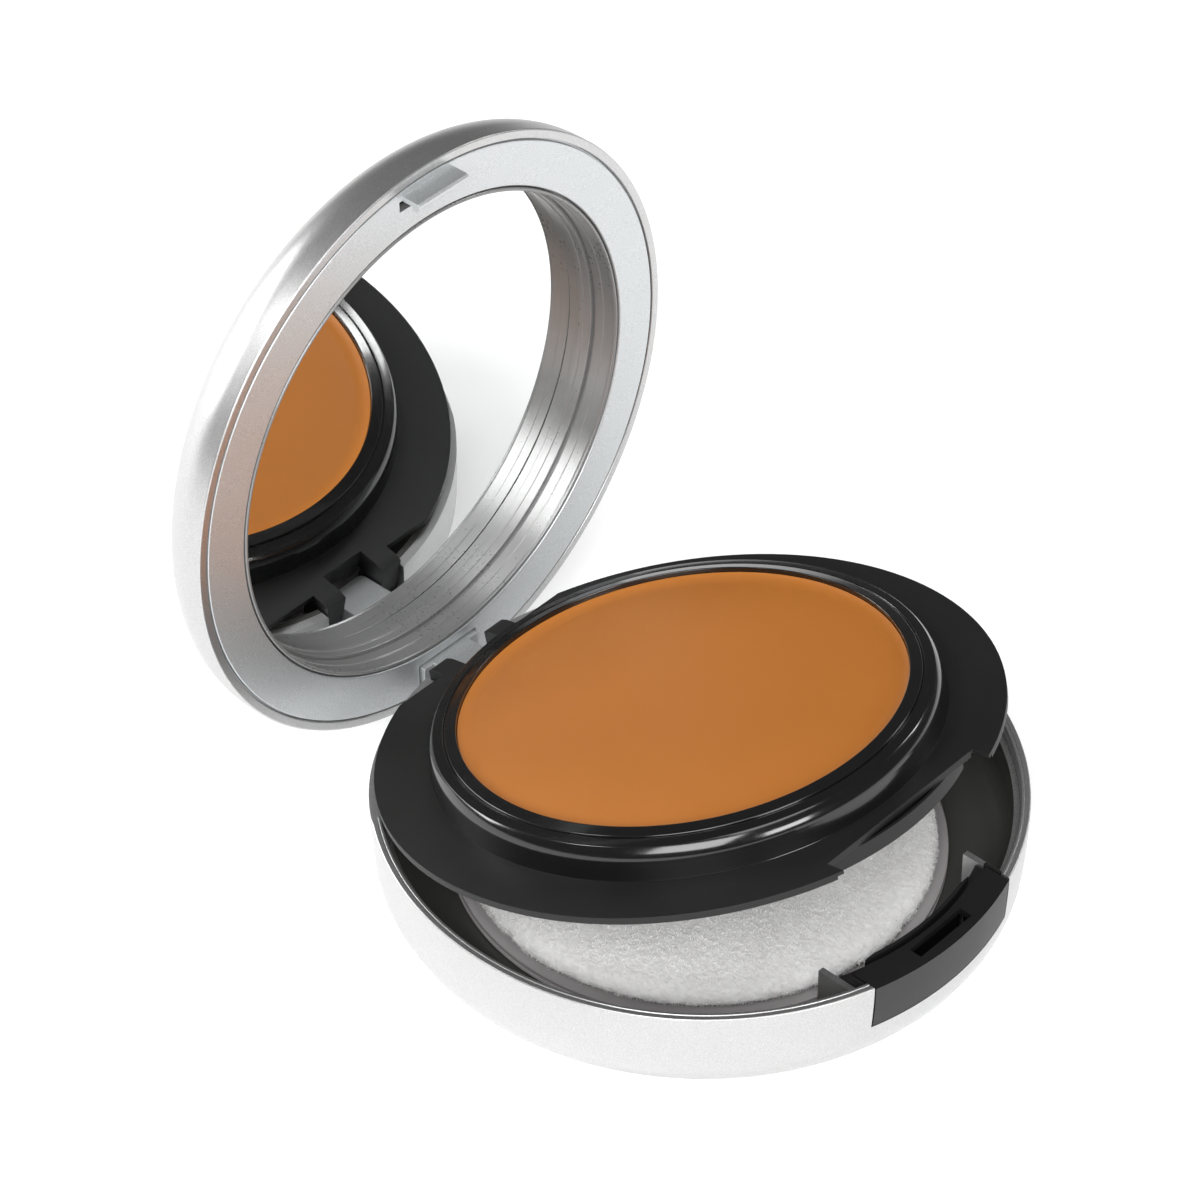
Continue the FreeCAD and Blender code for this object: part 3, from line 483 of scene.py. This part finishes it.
def make_base_shell():
    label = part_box("base_label")
    outer = base_wall(0.0)
    inner = base_wall(WALL)
    groove = BODY - WALL * 0.62
    groove_half, groove_deep = 0.08, 0.12
    recess, recess_top = label[1].x / MM + 0.1, label[1].z / MM
    land = soften([
        (BODY - WALL, RIM - 0.8), (BODY - WALL, RIM, 0.12), (groove - groove_half, RIM, 0.04),
        (groove, RIM - groove_deep), (groove + groove_half, RIM, 0.04), (BODY, RIM, 0.22), outer[1]])
    under = [(recess, 0.0), (recess, recess_top), (0.0, recess_top), (0.0, WALL)]
    outline = land[:-1] + outer[1:] + under + inner[::-1][:-2]
    # faces on the rim land take the grained rim silver, darker as painted shade
    shell = lathe("base_shell_fine", outline, lambda point: point.z > RIM - RIM_LAND)
    half = NOTCH_HALF
    carve(
        shell,
        brick("front_notch", (-half, -BODY - PAST, NOTCH_FLOOR), (half, -BODY + NOTCH_DEEP, RIM + PAST)),
        brick("wide_notch", (-REAR_WIDE_HALF, HINGE.y - KNUCKLE, REAR_WIDE_FLOOR),
              (REAR_WIDE_HALF, BODY + PAST, RIM + PAST)),
        brick("arm_notch", (-REAR_ARM_HALF, HINGE.y - KNUCKLE, REAR_ARM_FLOOR),
              (REAR_ARM_HALF, BODY + PAST, RIM)),
        rim_wedge())
    dress(shell, 0.07, 40.0)
    place(shell, "base", "base_shell", "silver_lacquer", SILVER, SILVER_RIM_GRAIN_AND_SHADE)


def make_base_liner():
    """The inside shell, silver like the outside but coloured dark olive grey as painted shade; the two
    walls beside the latch are lacquered like the outside.
    """
    liner = refined("base_liner", 0.12)
    place(liner, "base", "base_liner", "dark_liner", LINER_SHADED, SILVER, SILVER_RIM_GRAIN_AND_SHADE)
    for face in liner.data.polygons:
        across, along, up = face.center / MM
        # up-facing faces near the rim take the rim silver, darker as painted shade
        if face.normal.z > 0.7 and up > RIM - 2.0:
            face.material_index = 2
        beside = NOTCH_HALF < abs(across) < NOTCH_HALF + BAY_WALL
        if beside and along < -BAY_WALL_END and up > BAY_WALL_LOW:
            face.material_index = 1


def make_latch_button():
    button = refined("latch_button", 0.14)
    place(button, "button", "latch_button", "charcoal_button", BUTTON, BUTTON_TOP_SHADED)
    for face in button.data.polygons:
        # faces on top and inside the shell take the darker black: painted shade
        if face.normal.z > 0.9 or Vector(face.center[:2]).length / MM < BODY - 1.0:
            face.material_index = 1


def swell(piece):
    """Let the puff's cloth skin fill out under a little pressure, at ten times its size."""
    grown = 10 * MM
    furthest = 0.2 * grown
    last_frame = 14
    piece.data.transform(Matrix.Scale(grown, 4))
    before = [vertex.co.copy() for vertex in piece.data.vertices]
    cloth = piece.modifiers.new("cloth", "CLOTH")
    cloth.settings.use_pressure = True
    cloth.settings.uniform_pressure_force = 4.0
    cloth.settings.effector_weights.gravity = 0.0
    cloth.settings.tension_stiffness = 40.0
    cloth.settings.compression_stiffness = 40.0
    cloth.settings.bending_stiffness = 2.0
    scene = bpy.context.scene
    for number in range(1, last_frame + 1):
        scene.frame_set(number)
    settle(piece)
    scene.frame_set(1)
    for vertex, start in zip(piece.data.vertices, before):
        move = vertex.co - start
        if move.length > furthest:
            vertex.co = start + move.normalized() * furthest
    piece.data.transform(Matrix.Scale(1 / grown, 4))


def make_puff():
    """Flocked velour disc on a smooth backing: crowned top, soft shoulder, flat underneath."""
    low, high, wide = PUFF_LOW + 0.05, PUFF_HIGH - 0.45, PUFF_RADIUS - 0.1
    crown = [(0.0, high), (wide * 0.55, high - 0.05), (wide * 0.84, high - 0.22)]
    across, skirt = 2.0, 0.35
    tall = high - low - skirt - 0.4
    shoulder = [(wide - across + across * x, low + skirt + tall * z)
                for x, z in arc((0.0, 0.0), 1.0, 80, 0, 8)]
    puff = lathe("puff_velour_pad", crown + shoulder + [(wide - 0.2, low), (0.0, low)])
    remesh = puff.modifiers.new("grid", "REMESH")
    remesh.mode = "VOXEL"
    remesh.voxel_size = 0.75
    settle(puff)
    swell(puff)
    finer = puff.modifiers.new("finer", "SUBSURF")
    finer.levels = finer.render_levels = 1
    settle(puff)
    for vertex in puff.data.vertices:
        vertex.co.z = max(vertex.co.z, low)
    for polygon in puff.data.polygons:
        polygon.use_smooth = True
    off_centre = -0.3                                             # it lies loose in its well
    puff.data.transform(Matrix.Translation((off_centre, off_centre, 0)))
    place(puff, "base", "puff_pad", "puff_velour", VELOUR)
    make_pile(puff)


def make_pile(puff):
    """Short fibres that stand on the puff's skin, leaning at random."""
    tree = bpy.data.node_groups.new("pile", "GeometryNodeTree")
    tree.is_modifier = True
    sockets = {}
    sizes = {"Density": 6.0e6, "Length": 0.24 * MM, "Radius": 0.055 * MM, "Tip": 0.02 * MM, "Lean": 0.9}
    tree.interface.new_socket("Geometry", in_out="INPUT", socket_type="NodeSocketGeometry")
    for name in sizes:
        sockets[name] = tree.interface.new_socket(name, in_out="INPUT", socket_type="NodeSocketFloat")
    tree.interface.new_socket("Geometry", in_out="OUTPUT", socket_type="NodeSocketGeometry")

    def node(kind, inputs=None, **settings):
        made = tree.nodes.new(kind)
        for key, value in settings.items():
            setattr(made, key, value)
        for key, value in (inputs or {}).items():
            if isinstance(value, bpy.types.NodeSocket):
                tree.links.new(value, made.inputs[key])
            else:
                made.inputs[key].default_value = value
        return made

    entry = node("NodeGroupInput")
    scatter = node("GeometryNodeDistributePointsOnFaces",
                   {"Mesh": entry.outputs["Geometry"], "Density": entry.outputs["Density"], "Seed": 7})
    fibre = node("GeometryNodeMeshCone",
                 {"Vertices": 4, "Radius Top": entry.outputs["Tip"],
                  "Radius Bottom": entry.outputs["Radius"], "Depth": entry.outputs["Length"]})
    lean = node("ShaderNodeMath", {0: entry.outputs["Lean"], 1: -1.0}, operation="MULTIPLY")
    tilt = node("FunctionNodeRandomValue",
                {"Min": lean.outputs[0], "Max": entry.outputs["Lean"], "Seed": 11}, data_type="FLOAT")
    roll = node("FunctionNodeRandomValue",
                {"Min": lean.outputs[0], "Max": entry.outputs["Lean"], "Seed": 13}, data_type="FLOAT")
    angles = node("ShaderNodeCombineXYZ", {"X": tilt.outputs[1], "Y": roll.outputs[1]})
    turned = node("FunctionNodeRotateEuler",
                  {"Rotation": scatter.outputs["Rotation"], "Rotate By": angles.outputs[0]},
                  space="LOCAL")
    planted = node("GeometryNodeInstanceOnPoints",
                   {"Points": scatter.outputs["Points"], "Instance": fibre.outputs["Mesh"],
                    "Rotation": turned.outputs[0]})
    solid = node("GeometryNodeRealizeInstances", {"Geometry": planted.outputs[0]})
    coated = node("GeometryNodeSetMaterial", {"Geometry": solid.outputs[0], "Material": FIBRE})
    node("NodeGroupOutput", {"Geometry": coated.outputs[0]})
    pile = bpy.data.objects.new("puff_pile", puff.data.copy())
    bpy.context.scene.collection.objects.link(pile)
    grow = pile.modifiers.new("pile", "NODES")
    grow.node_group = tree
    for name, size in sizes.items():
        grow[sockets[name].identifier] = size
    settle(pile)
    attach(pile, "base")


def make_puff_backing():
    low, wide = BACKING_LOW, BACKING_RADIUS
    outline = [(0.0, PUFF_LOW)] + soften([(wide, PUFF_LOW, 0.6), (wide, low, 0.5)]) + [(0.0, low)]
    backing = lathe("puff_backing_fine", outline)
    dress(backing)
    place(backing, "base", "puff_backing", "puff_edge", EDGE)


# ---- tray ----------------------------------------------------------------------------------

def make_tray_frame():
    place(refined("tray_frame", 0.10, TRAY_OPEN), "tray", "tray_frame", "black_tray", TRAY,
          angle=TRAY_OPEN)


def forwards(piece):
    """The tray's round pieces sit a little in front of the base's centre."""
    piece.data.transform(Matrix.Translation((0, -TRAY_SHIFT, 0)))
    return piece


def make_pan_ring():
    foot = FLANGE_TOP
    pan = PAN_RADIUS + 0.1
    groove_outer = RING_FOOT - 2.2
    groove_inner = groove_outer - 0.22
    groove_floor = foot + 4.33
    lip_under = LIP_TOP - 1.05
    shoulder = arc((RING_FOOT - 2.75, foot + 2.33), 2.6, -2.9, 49.3, 12)
    outline = [(pan, foot)] + soften([(RING_FOOT + 0.05, foot), (RING_FOOT, foot + 0.12)], 2)
    outline += shoulder
    outline += soften([
        (groove_outer + 0.05, foot + 4.55, 0.12), (groove_outer, groove_floor, 0.05),
        (groove_inner, groove_floor, 0.05), (groove_inner - 0.05, foot + 4.62, 0.12),
        (LIP_RADIUS + 0.05, LIP_TOP, 0.18), (LIP_RADIUS, lip_under, 0.10), (pan, lip_under)])
    ring = lathe("pan_ring_fine", outline, lambda point: foot + 0.3 < point.z < foot + 2.9)
    for face in ring.data.polygons:
        if Vector(face.center[:2]).length < groove_inner - 0.03 and face.center.z > LIP_TOP - 1.2:
            face.material_index = 2
    dress(ring, 0.0, 40.0)
    place(forwards(ring), "tray", "pan_ring", "black_gloss", GLOSS, SPARKLE, LIP, angle=TRAY_OPEN)


def make_cream():
    """Filled cream: a very low dome, a shallow dip near the edge, then up to wet the lip."""
    wide = LIP_RADIUS - 0.05
    pan = PAN_RADIUS - 0.55
    margin, sunk, risen = 1.9, 0.42, 0.36
    dip = wide - margin
    under_lip, floor = LIP_TOP - 1.1, FLANGE_TOP + 0.7
    level = [(dip * t / 24, CREAM_TOP - sunk * (t / 24) ** 4) for t in range(24)]
    edge = [(dip + margin * t / 10, CREAM_TOP - sunk + risen * (t / 10) ** 3) for t in range(11)]
    outline = level + edge + [(wide, under_lip), (pan, under_lip), (pan, floor), (0.0, floor)]
    cream = lathe("cream_fine", outline)
    dress(cream)
    place(forwards(cream), "tray", "cream", "cream_makeup", CREAM, angle=TRAY_OPEN)


# ---- lid -----------------------------------------------------------------------------------

def lid_wall(inset):
    """The lid's side, corner and crown in section, from the rim up to the axis."""
    corner = (BODY - LID_CORNER, LID_RIM + LID_SIDE)
    reach = LID_CROWN - LID_CORNER
    crown = corner[1] - math.sqrt(reach ** 2 - corner[0] ** 2)
    lean = math.degrees(math.acos(corner[0] / reach))
    side = arc(corner, LID_CORNER - inset, 0, lean, 20)
    top = arc((0.0, crown), LID_CROWN - inset, lean, 90, 6)
    return side + top[1:-1] + [(0.0, crown + LID_CROWN - inset)]


def make_lid_shell():
    outer = lid_wall(0.0)
    inner = lid_wall(WALL)
    land = soften([(BODY - WALL, LID_RIM + 0.8), (BODY - WALL, LID_RIM, 0.14), (BODY, LID_RIM, 0.28),
                   (BODY, LID_RIM + LID_SIDE)], 5)
    shell = lathe("lid_shell_fine", land[:-1] + outer + inner[::-1])
    dress(shell, 0.0, 40.0)
    place(shell, "lid", "lid_shell", "silver_lacquer", SILVER, angle=LID_OPEN)


def make_mirror_frame():
    back = LID_RIM + FRAME_THICK
    outline = soften([
        (FRAME_OPENING, LID_RIM, 0.22), (FRAME_EDGE, LID_RIM, 0.18), (FRAME_EDGE, LID_RIM + 0.6),
        (BODY - WALL - 0.02, LID_RIM + 0.6), (BODY - WALL - 0.02, back), (FRAME_OPENING, back)])
    ring = lathe("mirror_frame_fine", outline)
    hook_in = HOOK_OUT - HOOK_THICK
    barb = -hook_in + 0.5
    carve(
        ring,
        brick("arm_window", (-ARM_WINDOW_HALF, HINGE.y - KNUCKLE - 0.25, 0),
              (ARM_WINDOW_HALF, BODY + PAST, back + PAST)),
        brick("hook_hole", (-HOOK_HOLE_HALF, -hook_in, 0),
              (HOOK_HOLE_HALF, -hook_in + HOOK_HOLE_DEEP, back + PAST)))
    outline = soften([
        (-HOOK_OUT, LID_RIM + 0.6), (-HOOK_OUT, HOOK_LOW + 0.1, 0.5), (-hook_in, HOOK_LOW, 0.12),
        (barb, HOOK_LOW + 0.55, 0.08), (barb, HOOK_LOW + 1.1, 0.08),
        (-hook_in, HOOK_LOW + 1.1), (-hook_in, LID_RIM + 0.6)])
    hook = prism("frame_hook", outline, HOOK_HALF)
    with bpy.context.temp_override(active_object=ring, selected_editable_objects=[ring, hook]):
        bpy.ops.object.join()
    dress(ring, 0.07, 40.0)
    place(ring, "lid", "mirror_frame", "silver_frame", SILVER_FRAME, angle=LID_OPEN)


def make_mirror_bezel():
    outer = FRAME_OPENING - 0.23
    inner = outer - 0.5
    bead = arc((outer - 0.25, LID_RIM + 0.27), 0.25, 180, 360, 8)
    flange = LID_RIM + FRAME_THICK + 0.02
    seat = LID_RIM + MIRROR_DEPTH
    step = LID_RIM + 3.8
    well = MIRROR_RADIUS + 0.1
    thick = 0.95
    shelf = 33.53
    outline = bead + soften([
        (outer, flange), (shelf, flange), (shelf, flange + thick), (inner + thick, flange + thick),
        (inner + thick, seat - thick), (well + thick, seat - thick), (well + thick, seat + 0.6),
        (well, seat + 0.6), (well, seat), (inner - 0.55, seat), (inner - 0.55, seat - 0.6, 0.05),
        (inner - 0.42, seat - 0.66, 0.05), (inner - 0.42, step, 0.12), (inner + 0.20, step, 0.05),
        (inner + 0.20, step - 0.35, 0.05), (inner - 0.06, step - 0.35, 0.10),
        (inner - 0.06, step - 1.70, 0.08), (inner + 0.06, step - 1.78, 0.05),
        (inner + 0.06, LID_RIM + 0.5, 0.05)])
    bezel = lathe("mirror_bezel_fine", outline, lambda point: point.z < LID_RIM + 0.5)
    dress(bezel, 0.0, 40.0)
    place(bezel, "lid", "mirror_bezel", "smoke_bezel", BEZEL, SILVER_FRAME, angle=LID_OPEN)


def make_lid_arm():
    place(refined("lid_hinge_arm", 0.15, LID_OPEN), "lid", "lid_hinge_arm", "silver_frame",
          SILVER_FRAME, angle=LID_OPEN)


# ---- plain pieces keep their shape and get their finish --------------------------------------

KEPT = {
    "latch_housing": HOUSING, "hinge_pin": STEEL, "return_spring": STEEL,
    "base_label": LABEL, "pan": PAN, "mirror": MIRROR, "mirror_pad": TAPE, "pan_adhesive": TAPE,
}


def coat_kept_nodes():
    for node, finish in KEPT.items():
        for slot in frame["nodes"][node].material_slots:
            slot.material = finish


# ---- stage ---------------------------------------------------------------------------------

def add_floor():
    bm = bmesh.new()
    bmesh.ops.create_grid(bm, x_segments=1, y_segments=1, size=3.0)
    floor = piece_from("floor", bm)
    finish = Finish("floor_pale", Roughness=0.7, Specular_IOR_Level=0.1, Emission_Strength=0.36)
    paper = finish.blend(finish.noise(400.0), grey(0.82), grey(0.84))
    finish.vary(Base_Color=paper, Emission_Color=paper)
    floor.data.materials.append(finish.material)


def softbox(name, place_at, aim, size, power):
    light = bpy.data.lights.new(name, "AREA")
    light.shape = "RECTANGLE"
    light.size, light.size_y = size
    light.energy = power
    lamp = bpy.data.objects.new(name, light)
    lamp.location = place_at
    lamp.rotation_euler = (Vector(aim) - lamp.location).to_track_quat("-Z", "Y").to_euler()
    bpy.context.scene.collection.objects.link(lamp)


def add_lights():
    world = bpy.data.worlds.new("studio")
    world.use_nodes = True
    world.node_tree.nodes["Background"].inputs["Color"].default_value = (1, 1, 1, 1)
    world.node_tree.nodes["Background"].inputs["Strength"].default_value = 0.10
    bpy.context.scene.world = world
    middle = (0.0, 0.01, 0.03)
    softbox("key_left", (-0.70, -0.45, 0.70), middle, (0.6, 0.6), 9.5)
    softbox("top", (-0.05, -0.25, 0.95), middle, (0.5, 0.5), 2.6)
    softbox("front", (-0.16, -0.82, 0.36), middle, (0.30, 0.26), 3.0)
    softbox("right", (0.80, -0.20, 0.55), middle, (0.12, 0.24), 1.3)
    softbox("back_low", (-0.26, 0.84, 0.29), middle, (0.60, 0.24), 5.0)
    softbox("back_high", (-0.42, 0.38, 0.66), middle, (0.16, 0.16), 1.2)


def add_camera():
    """The view: from the front left and above, long lens."""
    azimuth, elevation, roll = math.radians(47.717), math.radians(41.13), math.radians(0.3036)
    aim = Vector((0.0, 0.01648, 0.03337))
    distance = 0.580
    look = Vector((math.sin(azimuth) * math.cos(elevation), math.cos(azimuth) * math.cos(elevation),
                   -math.sin(elevation)))
    camera = bpy.data.cameras.new("camera")
    camera.sensor_width = 36.0
    camera.lens = 144.71
    view = bpy.data.objects.new("camera", camera)
    turn = look.to_track_quat("-Z", "Y").to_matrix().to_4x4() @ Matrix.Rotation(roll, 4, "Z")
    view.matrix_world = Matrix.Translation(aim - look * distance) @ turn
    bpy.context.scene.collection.objects.link(view)
    bpy.context.scene.camera = view


add_camera()
add_lights()
add_floor()
make_base_shell()
make_base_liner()
make_latch_button()
make_puff_backing()
make_puff()
make_tray_frame()
make_pan_ring()
make_cream()
make_lid_shell()
make_mirror_frame()
make_mirror_bezel()
make_lid_arm()
coat_kept_nodes()
bpy.context.scene.view_settings.view_transform = "Standard"
